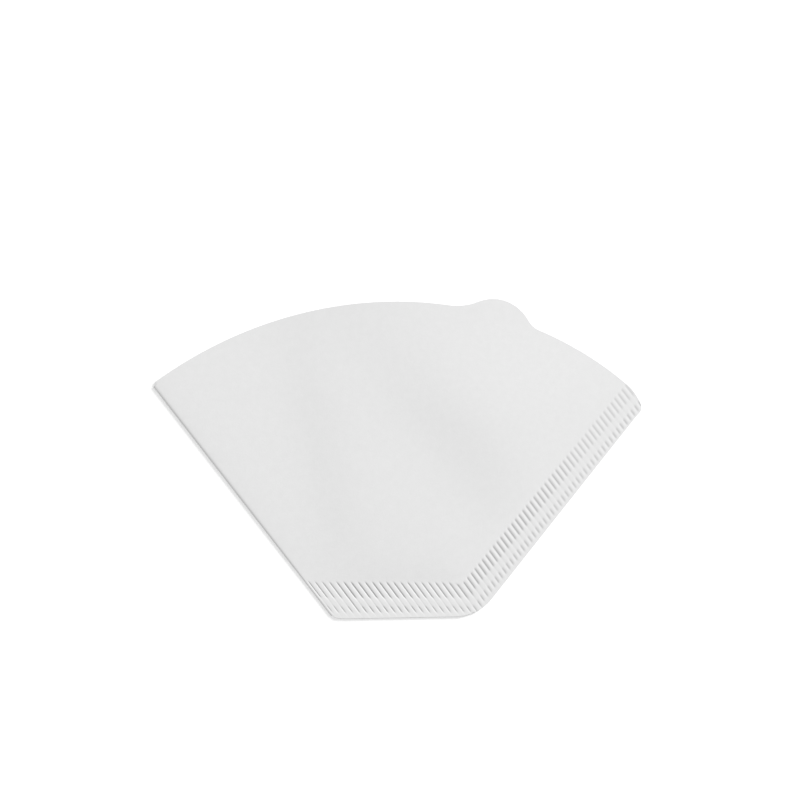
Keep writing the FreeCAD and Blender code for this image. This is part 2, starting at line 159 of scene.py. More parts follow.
class SheetSizes(PropertyGroup):
    """The paper, its fold and the lie of its two walls."""
    paper: length("Paper", "Thickness of one wall", 0.00018)
    seam_gap: length("Seam gap", "Lower to upper wall inside the seam", 0.0003)
    ply_step: length("Ply step", "How far the back wall's cut edge shows", 0.00025)
    fold_depth: length("Fold depth", "How far in the fold's round edge reaches", 0.0011)
    fold_pinch: length("Pinched fold", "The same inside the bottom seam", 0.0006)
    wall_lift: length("Wall lift", "Lift of the front wall without its bends", 0.0002)
    fold_share: factor("Fold share", "Share of the lift at the fold's edge", 0.55)
    crown: length("Crown", "Extra height at the middle of the mouth", 0.00005)
    fold_ease: length("Fold ease", "Distance over which the wall leaves the fold", 0.004)
    seam_ease: length("Seam ease", "Distance over which the wall leaves a seam", 0.013)
    fall: factor("Fall", "How steeply the wall falls away from the fold", 0.0105)
    upper: length("Upper part", "Apex to where the long bend widens and the short one fades",
                  0.105)
    main_step: length("Long bend", "Rise of the wall across its long soft bend", 0.0014)
    main_place: spot("Long bend's place", "A point on that bend", (-0.020, 0.140))
    main_turn: angle("Long bend's turn", "Centre line to that bend", 42)
    main_width: length("Long bend's width", "Half the width of that bend", 0.0128)
    main_spread: factor("Long bend's spread", "How much wider it grows up the wall", 0.2)
    left_step: length("Short bend", "Rise of the wall across its short soft bend", 0.00085)
    left_place: spot("Short bend's place", "A point on that bend", (-0.038, 0.110))
    left_turn: angle("Short bend's turn", "Centre line to that bend", 14)
    left_width: length("Short bend's width", "Half the width of that bend", 0.0095)
    left_fade: length("Short bend's fade", "Distance over which it fades", 0.040)
    left_kept: factor("Short bend's rest", "Share of that bend that is left past there", 0.5)


class CrimpSizes(PropertyGroup):
    """The slanted teeth pressed into the seams in a short and a long row."""
    depth: length("Depth", "Depth of the teeth", 0.0003)
    groove: length("Groove", "Half the width of a groove", 0.00022)
    short: factor("Short row", "Share of the crimp's strength in its short row", 0.7)
    short_high: factor("Short row, high", "The same beside the mouth", 1.3)
    # The crimp's darkness is painted shade in its grooves; the faint lines carry a share of it
    # between the rows
    faint: factor("Faint lines", "Share of the crimp's darkness between its rows", 0.08)
    swell: factor("Swell", "Share of the crimp's relief between its rows", 0.12)
    unbroken: count("Unbroken line", "Number of the line that runs through both rows", 3)
    turn: angle("Turn", "Turn of the whole crimp against the cut edges", 0.75)
    bottom_margin: length("Bottom margin", "Bottom edge to its short row", 0.0017)
    side_margin: length("Side margin", "Side edge to its short row", 0.0022)
    gap: length("Gap", "Short row to the long row", 0.0031)
    clear: length("Clear", "Long row to the pocket", 0.0006)
    bottom_short: length("Bottom short row", "Width of the bottom's short row", 0.0021)
    bottom_long: length("Bottom long row", "Width of the bottom's long row", 0.0054)
    side_short: length("Side short row", "Width of the side's short row", 0.0026)
    side_long: length("Side long row", "Width of the side's long row", 0.0051)
    bottom_pitch: length("Bottom pitch", "Tooth to tooth along the bottom", 0.00264)
    bottom_lean: angle("Bottom lean", "Slant of the bottom's teeth", 39.5)
    bottom_first: length("Bottom start", "Corner to the bottom's first tooth", -0.0598)
    bottom_teeth: count("Bottom teeth", "Number of teeth along the bottom", 21)
    side_pitch: length("Side pitch", "Tooth to tooth at the side's low end", 0.002134)
    side_growth: length("Side growth", "How much wider each pitch up the side is", 0.0000042)
    side_lean_low: angle("Side lean, low", "Slant of the side's first tooth", -11.2)
    side_lean_high: angle("Side lean, high", "Slant of the side's last tooth", -7.2)
    side_first: length("Side start", "Corner to the side's first tooth", 0.0052)
    side_teeth: count("Side teeth", "Number of teeth along the side", 45)


class PaperLook(PropertyGroup):
    """The finish of the paper, and the painted shade of its crimp's grooves."""
    colour: FloatVectorProperty(name="Colour", description="Colour of the paper",
                                subtype="COLOR", default=(0.80, 0.80, 0.80))
    roughness: factor("Roughness", "Roughness of the paper", 0.9)
    gloss: factor("Gloss", "Strength of the paper's specular reflection", 0.2)
    # Painted shade: the paper's colour is darkened to this brightness in the crimp's grooves
    press_and_painted_shade: factor("Pressed", "Brightness of the paper where the crimp presses it", 0.62)
    fibre: length("Fibre", "Size of the fibres' grain", 0.0006)
    cloud: length("Cloud", "Size of the pulp's paler and darker clouds", 0.0022)
    mottle: factor("Mottle", "How far fibres and clouds change the brightness", 0.09)
    cloud_share: factor("Cloud share", "Share of the clouds in the mottle", 0.6)
    relief: length("Relief", "Height of the fibres' relief", 0.00006)
    bump: factor("Bump", "Strength of that relief", 0.35)
    fibre_share: factor("Fibre share", "Share of the fibres in the relief", 0.7)


class StageLook(PropertyGroup):
    """The floor, the lamps and the camera."""
    camera_place: FloatVectorProperty(name="Camera", description="Place of the camera",
                                      subtype="TRANSLATION", unit="LENGTH",
                                      default=(-0.1206, 0.0178, 0.4003))
    camera_turn: FloatVectorProperty(name="Turn", description="Turn of the camera",
                                     subtype="EULER",
                                     default=[math.radians(a) for a in (-0.211, -16.058, 2.014)])
    lens: FloatProperty(name="Lens", description="Focal length of the camera",
                        unit="CAMERA", default=51.75)
    nearest: length("Nearest", "Nearest distance that the camera shows", 0.01)
    key_place: FloatVectorProperty(name="Key", description="Place of the key lamp",
                                   subtype="TRANSLATION", unit="LENGTH",
                                   default=(2.50, 2.50, 1.40))
    key_power: FloatProperty(name="Key power", description="Power of the key lamp",
                             unit="POWER", default=166.0)
    key_size: length("Key size", "Width of the key lamp", 1.4)
    sky: factor("Sky", "Strength of the soft light from all round", 0.582)
    glow: factor("Floor glow", "How far the floor is lifted to white for the camera", 0.27)
    floor_shade: factor("Floor shade", "Brightness of the floor's grey", 0.9)
    floor_reach: length("Floor", "Half the width of the floor", 0.6)


# The outline in plan
def polar(radius, bearing):
    """A point at a radius from the apex and a bearing from the centre line, clockwise."""
    return np.stack([radius * np.sin(bearing), radius * np.cos(bearing)], axis=-1)


def arc(centre, radius, start, end, points):
    """The shorter arc about a centre, from one point's direction to another's."""
    first, last = (math.atan2(*(point - centre)[::-1]) for point in (start, end))
    sweep = (last - first + math.pi) % (2 * math.pi) - math.pi
    turn = first + sweep * np.linspace(0, 1, points)
    return centre + radius * np.stack([np.cos(turn), np.sin(turn)], axis=-1)


def hollow(fan, radius, tab_centre, side):
    """The arc between the rim and the tab's crest, which touches both from outside. Its
    centre is one radius off each, and the law of cosines gives its bearing."""
    to_rim, to_crest = fan.mouth_radius + radius, fan.tab + radius
    reach = np.linalg.norm(tab_centre)
    cosine = (to_rim**2 + reach**2 - to_crest**2) / (2 * to_rim * reach)
    centre = polar(to_rim, fan.tab_angle + side * math.acos(cosine))
    on_rim = centre * fan.mouth_radius / to_rim
    on_crest = tab_centre + (centre - tab_centre) * fan.tab / to_crest
    return centre, on_rim, on_crest


def cut_edge(fan):
    """The bottom and the right side: two straight lines, joined and ended by arcs."""
    turn = math.pi / 2 - fan.half_angle
    side, fold = polar(1, fan.half_angle), polar(1, -fan.half_angle)
    right, left = side * fan.bottom / side[1], fold * fan.bottom / fold[1]
    reach = fan.fold_corner * math.tan(turn / 2)
    start, low = left + fold * reach, left + np.array([reach, 0])
    corner = arc(low + np.array([0, fan.fold_corner]), fan.fold_corner, start, low,
                 SMALL_CORNER)
    reach = fan.seam_corner * math.tan(turn / 2)
    before, after = right - np.array([reach, 0]), right + side * reach
    seam = arc(before + np.array([0, fan.seam_corner]), fan.seam_corner, before, after,
               LARGE_CORNER)
    return np.concatenate([corner, seam, shoulder_points(fan)[0]])


def shoulder_points(fan):
    """The rounded tip of the mouth and the crimped side, and the shoulder that follows, with
    the number of the tip's points. The tip's circle touches the side and, from inside, the
    shoulder's circle, which touches the rim from inside."""
    side = polar(1, fan.half_angle)
    inward = np.array([-side[1], side[0]])
    centre = polar(fan.mouth_radius - fan.shoulder, fan.shoulder_angle)
    offset = inward * fan.tip - centre
    along = math.sqrt((fan.shoulder - fan.tip) ** 2 - (offset @ inward) ** 2)
    tip_centre = inward * fan.tip + side * (along - offset @ side)
    high = centre + (tip_centre - centre) * fan.shoulder / (fan.shoulder - fan.tip)
    tip = arc(tip_centre, fan.tip, tip_centre - inward * fan.tip, high, SMALL_CORNER)
    drop = arc(centre, fan.shoulder, high, polar(fan.mouth_radius, fan.shoulder_angle),
               LARGE_CORNER)
    return np.concatenate([tip, drop[1:]]), len(tip)


def rim(fan):
    """The mouth's edge from the tip to the fold: arcs about the apex, with the tab."""
    radius = fan.mouth_radius
    crest = polar(radius + fan.tab_rise - fan.tab, fan.tab_angle)
    right, right_rim, right_crest = hollow(fan, fan.tab_right, crest, 1)
    left, left_rim, left_crest = hollow(fan, fan.tab_left, crest, -1)
    swing = math.asin(fan.top_corner / (radius - fan.top_corner))
    top = polar(radius - fan.top_corner, swing - fan.half_angle)
    top_rim = top * radius / (radius - fan.top_corner)
    fold = polar(1, -fan.half_angle)
    bearings = [math.atan2(*point) for point in (right_rim, left_rim, top_rim)]
    points, tip_count = shoulder_points(fan)
    return np.concatenate([
        points[tip_count:],
        polar(radius, np.linspace(fan.shoulder_angle, bearings[0], RIGHT_RIM))[1:],
        arc(right, fan.tab_right, right_rim, right_crest, TAB_RIGHT)[1:],
        arc(crest, fan.tab, right_crest, left_crest, TAB_CREST)[1:],
        arc(left, fan.tab_left, left_crest, left_rim, TAB_LEFT)[1:],
        polar(radius, np.linspace(bearings[1], bearings[2], LEFT_RIM))[1:],
        arc(top, fan.top_corner, top_rim, fold * (top @ fold), TOP_CORNER)[1:]])


def resample(points, shares):
    """Points at given shares of a line's length."""
    steps = np.linalg.norm(np.diff(points, axis=0), axis=1)
    along = np.concatenate([[0], np.cumsum(steps)]) / steps.sum()
    return np.stack([np.interp(shares, along, points[:, axis]) for axis in (0, 1)], axis=-1)


# The crimp in plan
def crimp_frame(fan, crimp, track):
    """Corner and two directions of a track: along its cut edge and into the sheet."""
    turn = -crimp.turn + (math.pi / 2 - fan.half_angle if track == "side" else 0)
    side = polar(1, fan.half_angle)
    along = np.array([math.cos(turn), math.sin(turn)])
    return side * fan.bottom / side[1], along, np.array([-along[1], along[0]])


def rows_of(crimp, track):
    """Where a track's short and long rows start and end, in from the cut edge."""
    margin, short, long = (getattr(crimp, f"{track}_{part}")
                           for part in ("margin", "short", "long"))
    return np.cumsum([margin, short, crimp.gap, long])


def depth_in(fan, crimp, track, points):
    """Distance of points in from a track's cut edge, square to the crimp."""
    corner, _, inward = crimp_frame(fan, crimp, track)
    return (points - corner) @ inward


def tooth_places(fan, crimp, track, growth=0.0):
    """Where a track's teeth cross the middle of its long row. They stand one pitch apart,
    and each pitch is wider than the last by the growth."""
    corner, along, inward = crimp_frame(fan, crimp, track)
    first, pitch, teeth, long = (getattr(crimp, f"{track}_{part}")
                                 for part in ("first", "pitch", "teeth", "long"))
    tooth = np.arange(teeth)
    steps = first + pitch * tooth + growth / 2 * tooth**2
    middle = rows_of(crimp, track)[3] - long / 2
    return corner + np.outer(steps, along) + middle * inward


class Teeth:
    """The crimp's teeth as one family of slanted lines, numbered from the fold along the
    bottom and up the side. Between two teeth, places and slants change evenly."""

    def __init__(self, fan, crimp):
        bottom = tooth_places(fan, crimp, "bottom")
        side = tooth_places(fan, crimp, "side", crimp.side_growth)
        bottom_slant = math.pi / 2 + crimp.bottom_lean - crimp.turn
        share = np.linspace(0, 1, crimp.side_teeth)
        leans = crimp.side_lean_low + (crimp.side_lean_high - crimp.side_lean_low) * share
        side_slant = math.pi - fan.half_angle - crimp.turn + leans

        fold = polar(1, -fan.half_angle)
        across = np.array([-fold[1], fold[0]])
        left = np.array([-1.0, 0.0])
        to_fold = -(bottom[0] @ across) / (left @ across)
        self.first = -to_fold / crimp.bottom_pitch
        self.last = len(bottom) + len(side) - 1
        self.corner = len(bottom) - 0.5
        self.turning = [self.corner - CORNER_TEETH, self.corner + CORNER_TEETH]
        self.number = np.concatenate([[self.first], np.arange(self.last + 1)])
        self.place = np.concatenate([[bottom[0] + left * to_fold], bottom, side])
        self.slant = np.concatenate([[math.pi / 2 + fan.half_angle],
                                     np.full(len(bottom), bottom_slant), side_slant])
        self.rows = np.stack([np.interp(self.number, self.turning, ends)
                              for ends in zip(rows_of(crimp, "bottom"),
                                              rows_of(crimp, "side"))], axis=-1)

    def at(self, numbers):
        """Place, direction and row limits of each line."""
        x, y, slant = (np.interp(numbers, self.number, values)
                       for values in (*self.place.T, self.slant))
        rows = np.stack([np.interp(numbers, self.number, row) for row in self.rows.T], -1)
        return (np.stack([x, y], -1), np.stack([np.cos(slant), np.sin(slant)], -1), rows)

    def side_share(self, numbers):
        """0 along the bottom and 1 up the side, with an even change round the corner."""
        return np.interp(numbers, self.turning, [0, 1])


def cross(a, b):
    """Cross product of vectors in plan."""
    return a[..., 0] * b[..., 1] - a[..., 1] * b[..., 0]


def meet(edge, place, slant):
    """Where slanted lines cross an edge. The edge's points up to there are on a line's one
    side and the rest on its other, and the crossing divides the step between them as their
    distances from the line do."""
    beside = cross(slant[:, None], edge[None] - place[:, None])
    index = np.clip((beside > 0).sum(axis=1), 1, len(edge) - 1)
    lines = np.arange(len(place))
    low, high = beside[lines, index - 1], beside[lines, index]
    share = np.clip(low / (low - high), 0, 1)[:, None]
    return edge[index - 1] * (1 - share) + edge[index] * share


def row_depths(rows, edge_depth):
    """Depths of the seam grid's rows on each line, and how far along each row is, from 1 at
    the first to 0 at the last. Where a rounded corner reaches in, it pushes the rows on by
    the square of that."""
    a, b, c, d = (rows[:, i, None] for i in range(4))
    depths = np.concatenate([
        a - OUTSIDE, a, a + INSIDE, (a + b) / 2, b - INSIDE, b, b + OUTSIDE, (b + c) / 2,
        c - OUTSIDE, c, c + INSIDE, *(c + (d - c) * share for share in LONG_ROW_SHARES),
        d - INSIDE, d, d + OUTSIDE, *(d + past for past in PAST_LONG_ROW)], axis=1)
    pushed = np.maximum(0, edge_depth - CORNER_CUT)[:, None]
    left = (depths[:, -1:] - depths) / (depths[:, -1:] - depths[:, :1])
    return depths + pushed * left**2, left


def rim_ends(fan, crimp, mouth, depths):
    """Points at given depths from the crimped side, on the tip's arc and the mouth's rim."""
    shoulder, tip_count = shoulder_points(fan)
    border = np.concatenate([shoulder[:tip_count], mouth])
    border_depth = depth_in(fan, crimp, "side", border)
    near_tip = slice(0, int(np.argmax(border_depth > RIM_REACH)))
    return np.stack([np.interp(depths, border_depth[near_tip], border[near_tip, axis])
                     for axis in (0, 1)], -1)


def seam_plan(fan, crimp, mouth):
    """The seam's grid in plan: columns along slanted lines, eleven for each tooth and closest
    at its groove, and rows that follow the ends of the short and the long row.

    Each column starts on the cut edge and ends a little way into the pocket. Past the last
    tooth the columns swing round to the mouth's rim. The outer row is the cut edge."""
    teeth = Teeth(fan, crimp)
    numbers = (np.arange(teeth.last + 1)[:, None] + TOOTH_COLUMNS).ravel()
    before = np.linspace(teeth.first, numbers[0], FOLD_COLUMNS + 1)[:-1]
    numbers = np.concatenate([before, numbers[numbers <= teeth.last]])
    place, slant, rows = teeth.at(numbers)

    outer = meet(cut_edge(fan), place, slant)
    share = teeth.side_share(numbers)[:, None]
    inwards = [crimp_frame(fan, crimp, track)[2] for track in ("bottom", "side")]
    inward = inwards[0] * (1 - share) + inwards[1] * share
    inward /= np.linalg.norm(inward, axis=1, keepdims=True)
    middle = (rows[:, 2] + rows[:, 3]) / 2
    edge_depth = middle + ((outer - place) * inward).sum(axis=1)
    depths, left = row_depths(rows, edge_depth)
    ratio = (depths - middle[:, None]) / (slant * inward).sum(axis=1, keepdims=True)
    inner = place[:, None] + slant[:, None] * ratio[..., None]
    plan = np.concatenate([outer[:, None], inner], axis=1)

    on_rim = rim_ends(fan, crimp, mouth, np.concatenate([
        [edge_depth[-1] + RIM_START], depths[-1] + RIM_SPREAD * left[-1]]))
    swing = np.linspace(0, 1, RIM_COLUMNS + 1)[1:, None, None]
    plan = np.concatenate([plan, plan[-1:] * (1 - swing) + on_rim[None] * swing])
    numbers = np.concatenate([numbers, teeth.last + PAST_LAST * swing.ravel()])
    return plan, numbers, teeth


def wall_plan(seam_line, numbers, teeth, mouth):
    """The pocket wall's grid in plan, between the seam's inner line along the bottom, the
    same line up the side, the mouth's rim and the fold. A point is the even mix of the two
    lines across from each other, for both pairs, less the even mix of the four corners."""
    across, up = np.linspace(0, 1, WALL_COLUMNS + 1), np.linspace(0, 1, WALL_ROWS + 1)
    wanted = [teeth.first + (teeth.corner - teeth.first) * across,
              teeth.corner + (numbers[-1] - teeth.corner) * up]
    low, right = (np.stack([np.interp(w, numbers, seam_line[:, axis]) for axis in (0, 1)], -1)
                  for w in wanted)
    nearest = int(np.argmin(np.linalg.norm(mouth - right[-1], axis=1)))
    top = resample(np.concatenate([right[-1:], mouth[nearest + 1:]])[::-1], across)
    left = low[0] + (top[0] - low[0]) * up[:, None]
    u, v = across[None, :, None], up[:, None, None]
    return ((1 - v) * low[None] + v * top[None] + (1 - u) * left[:, None] + u * right[:, None]
            - (1 - u) * (1 - v) * low[0] - u * (1 - v) * low[-1]
            - (1 - u) * v * top[0] - u * v * top[-1])


# The heights
def smooth(value, low, high):
    """0 up to one value and 1 from another, joined by the curve 3 s**2 - 2 s**3 of the share
    s of the way between them."""
    share = np.clip((value - low) / (high - low), 0, 1)
    return share * share * (3 - 2 * share)


def fold_inward(fan):
    """The direction square to the fold, into the sheet."""
    return np.array([math.cos(fan.half_angle), math.sin(fan.half_angle)])


def fold_distance(fan, plan):
    """Distance from the fold, and 0 past it."""
    return np.maximum(plan @ fold_inward(fan), 0)


def off_the_seams(fan, crimp, sheet, plan):
    """0 in the seams, rising in the pocket by 1 - exp(-distance / ease). The distance is the
    lesser of the two seams' own, rounded where they are alike."""
    inside = [depth_in(fan, crimp, track, plan) - rows_of(crimp, track)[3] - crimp.clear
              for track in ("bottom", "side")]
    nearest = (inside[0] + inside[1] - np.hypot(inside[0] - inside[1], POCKET_ROUND)) / 2
    return 1 - np.exp(-np.maximum(nearest, 0) / sheet.seam_ease)


def soft_step(plan, place, turn, width):
    """0 on the left of a slanted line through a point, rising to 1 on its right as a
    hyperbolic tangent of the distance from it."""
    across = (plan - np.array(place)) @ np.array([math.cos(turn), math.sin(turn)])
    return 0.5 + 0.5 * np.tanh(across / width)


def front_height(fan, crimp, sheet, plan):
    """Middle of the front wall's paper: the back wall, the gap and half a paper above the
    floor, and a lift that is full in the pocket, less at the fold and none over the seams.

    The lift is a constant, a crown that grows as the square of the height in the fan and falls
    to the sides as 1 less the square of the bearing, and two soft bends, less an even slope
    away from the fold."""
    off_seams = off_the_seams(fan, crimp, sheet, plan)
    distance = fold_distance(fan, plan)
    off_fold = 1 - np.exp(-distance / sheet.fold_ease)
    off_fold = sheet.fold_share + (1 - sheet.fold_share) * off_fold
    x, y = plan[..., 0], plan[..., 1]
    across = np.arctan2(x, y) / fan.half_angle
    crown = sheet.crown * (y / fan.mouth_radius) ** 2 * np.maximum(0, 1 - across**2)
    width = sheet.main_width + sheet.main_spread * np.maximum(0, y - sheet.upper)
    main = soft_step(plan, sheet.main_place, sheet.main_turn, width)
    left = soft_step(plan, sheet.left_place, sheet.left_turn, sheet.left_width)
    faded = smooth(y, sheet.upper, sheet.upper + sheet.left_fade)
    left = left * (1 - (1 - sheet.left_kept) * faded)
    bends = sheet.main_step * main + sheet.left_step * left
    bends = bends - sheet.fall * distance
    lift = (sheet.wall_lift + crown + bends) * off_fold * off_seams
    return sheet.paper * 1.5 + sheet.seam_gap + lift


def along_crimp(crimp, numbers, stops):
    """A value that changes evenly between stops along the crimp."""
    starts = {"fold": 0, "corner": crimp.bottom_teeth,
              "end": crimp.bottom_teeth + crimp.side_teeth}
    teeth, values = zip(*((starts[mark] + tooth, value) for mark, tooth, value in stops))
    return np.interp(numbers, teeth, values)


def in_row(depths, start, end):
    """1 inside a row, with a soft start and end, and 0 outside it."""
    return (smooth(depths, start - ROW_SOFT, start + ROW_SOFT)
            * smooth(-depths, -end - ROW_SOFT, -end + ROW_SOFT))


def press_and_painted_shade(crimp, numbers, depths, rows, share):
    """How hard the teeth press on each point. Across each line it is a narrow bell,
    exp(-x**2), which mostly gives way to a cosine wave up the side. It is full in the long
    row, has a changing share in the short one, and the given share between them."""
    a, b, c, d = (rows[..., i] for i in range(4))
    short, between, long = in_row(depths, a, b), in_row(depths, b, c), in_row(depths, c, d)
    short *= along_crimp(crimp, numbers, (("end", SHORT_CHANGE[0], crimp.short),
                                          ("end", SHORT_CHANGE[1], crimp.short_high)))
    unbroken = np.exp(-((numbers - crimp.unbroken) / UNBROKEN_WIDTH) ** 2)
    kept = long + short + between * np.maximum(share, UNBROKEN_SHARE * unbroken)
    strength = along_crimp(crimp, numbers, STRENGTH)
    breadth = along_crimp(crimp, numbers, BREADTH)
    beside = (numbers - np.round(numbers)) * crimp.bottom_pitch * math.cos(crimp.bottom_lean)
    bell = np.exp(-(beside / crimp.groove) ** 2)
    wave = 0.5 + 0.5 * np.cos(2 * math.pi * numbers)
    # The same values give the teeth's relief and the painted shade in their grooves
    return strength * kept * (bell * (1 - breadth) + wave * breadth)


def inset_for_fold(fan, sheet, plan, off_seams):
    """Draws the paper in from the fold line, to leave room for the fold's round edge: by that
    room times exp(-distance / reach), so by all of it at the fold."""
    room = sheet.fold_pinch + (sheet.fold_depth - sheet.fold_pinch) * off_seams
    drawn = room * np.exp(-fold_distance(fan, plan) / (FOLD_REACH * room))
    return plan + drawn[..., None] * fold_inward(fan)


class Surface:
    """Grids and the triangles between them, gathered into one mesh."""

    def __init__(self):
        self.points, self.quads, self.triangles, self.count = [], [], [], 0

    def add(self, points):
        """Adds a grid's points and gives back their numbers in the same layout."""
        shape = points.shape[:-1]
        self.points.append(points.reshape(-1, 3))
        numbers = self.count + np.arange(math.prod(shape)).reshape(shape)
        self.count += numbers.size
        return numbers

    def fill(self, grid, flip=False):
        """A quad for each cell of a grid of point numbers."""
        quads = np.stack([grid[:-1, :-1], grid[1:, :-1], grid[1:, 1:], grid[:-1, 1:]], -1)
        quads = quads.reshape(-1, 4)
        self.quads.append(quads[:, ::-1] if flip else quads)

    def zip(self, fine, coarse, flip=False):
        """Triangles between a finely and a coarsely divided line, side by side: each fine
        edge goes to the coarse point that is nearest along the line, and each coarse edge
        to the fine point where that changes."""
        points = np.concatenate(self.points)
        middles = (points[fine[:-1]] + points[fine[1:]]) / 2
        gaps = np.linalg.norm(middles[:, None] - points[coarse][None], axis=2)
        owner = np.maximum.accumulate(gaps.argmin(axis=1))
        owner[0], owner[-1] = 0, len(coarse) - 1
        edges = np.stack([fine[:-1], fine[1:], coarse[owner]], -1)
        jumps = np.diff(owner)
        at = np.repeat(np.arange(len(jumps)), jumps)
        reached = np.arange(len(coarse) - 1)
        steps = np.stack([fine[at + 1], coarse[reached + 1], coarse[reached]], -1)
        triangles = np.concatenate([edges, steps])
        self.triangles.append(triangles[:, ::-1] if flip else triangles)

    def mesh(self, name, origin):
        """The mesh, with its plan moved from the apex to the frame's origin. It is shaded
        smooth, but sharp along its borders, which are the cut edges."""
        points = np.concatenate(self.points) - np.array([0, origin, 0])
        quads, triangles = np.concatenate(self.quads), np.concatenate(self.triangles)
        corners = np.concatenate([quads.ravel(), triangles.ravel()])
        sizes = np.repeat([4, 3], [len(quads), len(triangles)])
        mesh = bpy.data.meshes.new(name)
        mesh.vertices.add(len(points))
        mesh.vertices.foreach_set("co", points.ravel())
        mesh.loops.add(len(corners))
        mesh.loops.foreach_set("vertex_index", corners)
        mesh.polygons.add(len(sizes))
        mesh.polygons.foreach_set("loop_start", np.cumsum(sizes) - sizes)
        mesh.update(calc_edges=True)
        mesh.validate()
        mesh.shade_smooth()
        edges = np.zeros(len(mesh.loops), dtype=np.int32)
        mesh.loops.foreach_get("edge_index", edges)
        border = np.bincount(edges, minlength=len(mesh.edges)) == 1
        sharp = mesh.attributes.new("sharp_edge", "BOOLEAN", "EDGE")
        sharp.data.foreach_set("value", border)
        return mesh


def fold_strip(fan, sheet, front_edge, back_edge):
    """The fold's round edge: half an ellipse from the front wall's edge to the back's."""
    inward = np.append(fold_inward(fan), 0)
    depth = front_edge @ inward - sheet.paper / 2
    turn = np.linspace(0, math.pi, FOLD_POINTS)[None, 1:-1, None]
    middle, rise = (front_edge + back_edge)[:, None] / 2, (front_edge - back_edge)[:, None] / 2
    return middle + rise * np.cos(turn) - inward * depth[:, None, None] * np.sin(turn)


def trimmed(plan, step):
    """Draws the front wall's cut edge in along each column, so that the back wall's edge
    shows beside it."""
    inward = plan[:, 1] - plan[:, 0]
    inward /= np.linalg.norm(inward, axis=1, keepdims=True)
    edge = plan[:, 0] + inward * step[:, None]
    return np.concatenate([edge[:, None], plan[:, 1:]], axis=1)


def folded_sheet(fan, crimp, sheet):
    """The middle of the folded sheet's paper, as one surface from the front wall's seam
    round the fold to the back wall's. The teeth press the front down and the back up."""
    mouth = rim(fan)
    seam, numbers, teeth = seam_plan(fan, crimp, mouth)
    wall = wall_plan(seam[:, -1], numbers, teeth, mouth).transpose(1, 0, 2)
    seam = seam[:, :-1]
    rows = teeth.at(numbers)[2][:, None]
    side_share = teeth.side_share(numbers)[:, None]
    depths = (depth_in(fan, crimp, "bottom", seam) * (1 - side_share)
              + depth_in(fan, crimp, "side", seam) * side_share)

    step = sheet.ply_step * smooth(teeth.last - numbers, 0, STEP_FADE)
    surface, lines, painted_shade_values = Surface(), [], []
    for front in (True, False):
        grids = []
        for plan in (seam, wall):
            off_seams = off_the_seams(fan, crimp, sheet, plan)
            if front:
                height = front_height(fan, crimp, sheet, plan)
            else:
                height = np.full(plan.shape[:-1], sheet.paper / 2)
            dark = np.zeros(height.shape)
            if plan is seam:
                shifted = numbers[:, None] + (0 if front else BACK_SHIFT)
                # relief shapes the teeth; dark is painted shade for their grooves, which goes
                # into the paper's colour
                relief, dark = (press_and_painted_shade(crimp, shifted, depths, rows, between)
                                for between in (crimp.swell, crimp.faint))
                height = height + crimp.depth * relief * (-1 if front else 1)
                plan = trimmed(plan, step) if front else plan
            painted_shade_values.append(dark.ravel())
            plan = inset_for_fold(fan, sheet, plan, off_seams)
            grids.append(np.concatenate([plan, height[..., None]], axis=-1))
        seam_ids, wall_ids = surface.add(grids[0]), surface.add(grids[1])
        surface.fill(seam_ids, flip=not front)
        surface.fill(wall_ids, flip=not front)
        inner = np.concatenate([wall_ids[:, 0], wall_ids[-1, 1:]])
        surface.zip(seam_ids[:, -1], inner, flip=not front)
        lines.append(np.concatenate([seam_ids[0], wall_ids[0]]))
    points = np.concatenate(surface.points)
    strip = surface.add(fold_strip(fan, sheet, points[lines[0]], points[lines[1]]))
    surface.fill(np.concatenate([lines[0][:, None], strip, lines[1][:, None]], axis=1))
    mesh = surface.mesh("folded_paper", fan.origin)
    painted_shade_values.append(np.zeros(strip.size))
    # The painted shade of the grooves, which the paper's material puts into its colour
    shade = mesh.attributes.new("press_and_painted_shade", "FLOAT", "POINT")
    shade.data.foreach_set("value", np.concatenate(painted_shade_values))
    return mesh


# The materials
class Value:
    """A socket of a shader tree, so that shader maths is written as plain expressions."""

    def __init__(self, shader, socket):
        self.shader, self.socket = shader, socket

    def math(self, operation, other):
        """A Math node of this value and another one, or a number."""
        return self.shader.node("ShaderNodeMath", {"operation": operation},
                                {0: self, 1: other})

    def __add__(self, other):
        return self.math("ADD", other)

    def __mul__(self, other):
        return self.math("MULTIPLY", other)

    __radd__, __rmul__ = __add__, __mul__


class Shader:
    """The node tree of a material or a world."""

    def __init__(self, owner):
        self.owner = owner
        owner.use_nodes = True
        self.tree = owner.node_tree
        self.tree.nodes.clear()

    def node(self, kind, settings=None, inputs=None, output=0):
        """A node with its settings made first, then its sockets filled or linked."""
        made = self.tree.nodes.new(kind)
        for name, value in (settings or {}).items():
            setattr(made, name, value)
        for name, value in (inputs or {}).items():
            if isinstance(value, Value):
                self.tree.links.new(value.socket, made.inputs[name])
            else:
                made.inputs[name].default_value = value
        return Value(self, made.outputs[output]) if made.outputs else made

    def mixed_colours(self, share, first, second):
        """The colour between two others at a share, through a Mix node's colour sockets."""
        return self.node("ShaderNodeMix", {"data_type": "RGBA"},
                         {0: share, 6: first, 7: second}, output=2)

    def seen(self):
        """1 for the rays that show the background, which are the camera's own and those
        that metal or glass would send on, and 0 for the rays that light the object."""
        return sum(self.node("ShaderNodeLightPath", output=f"Is {kind} Ray")
                   for kind in ("Camera", "Glossy", "Transmission"))


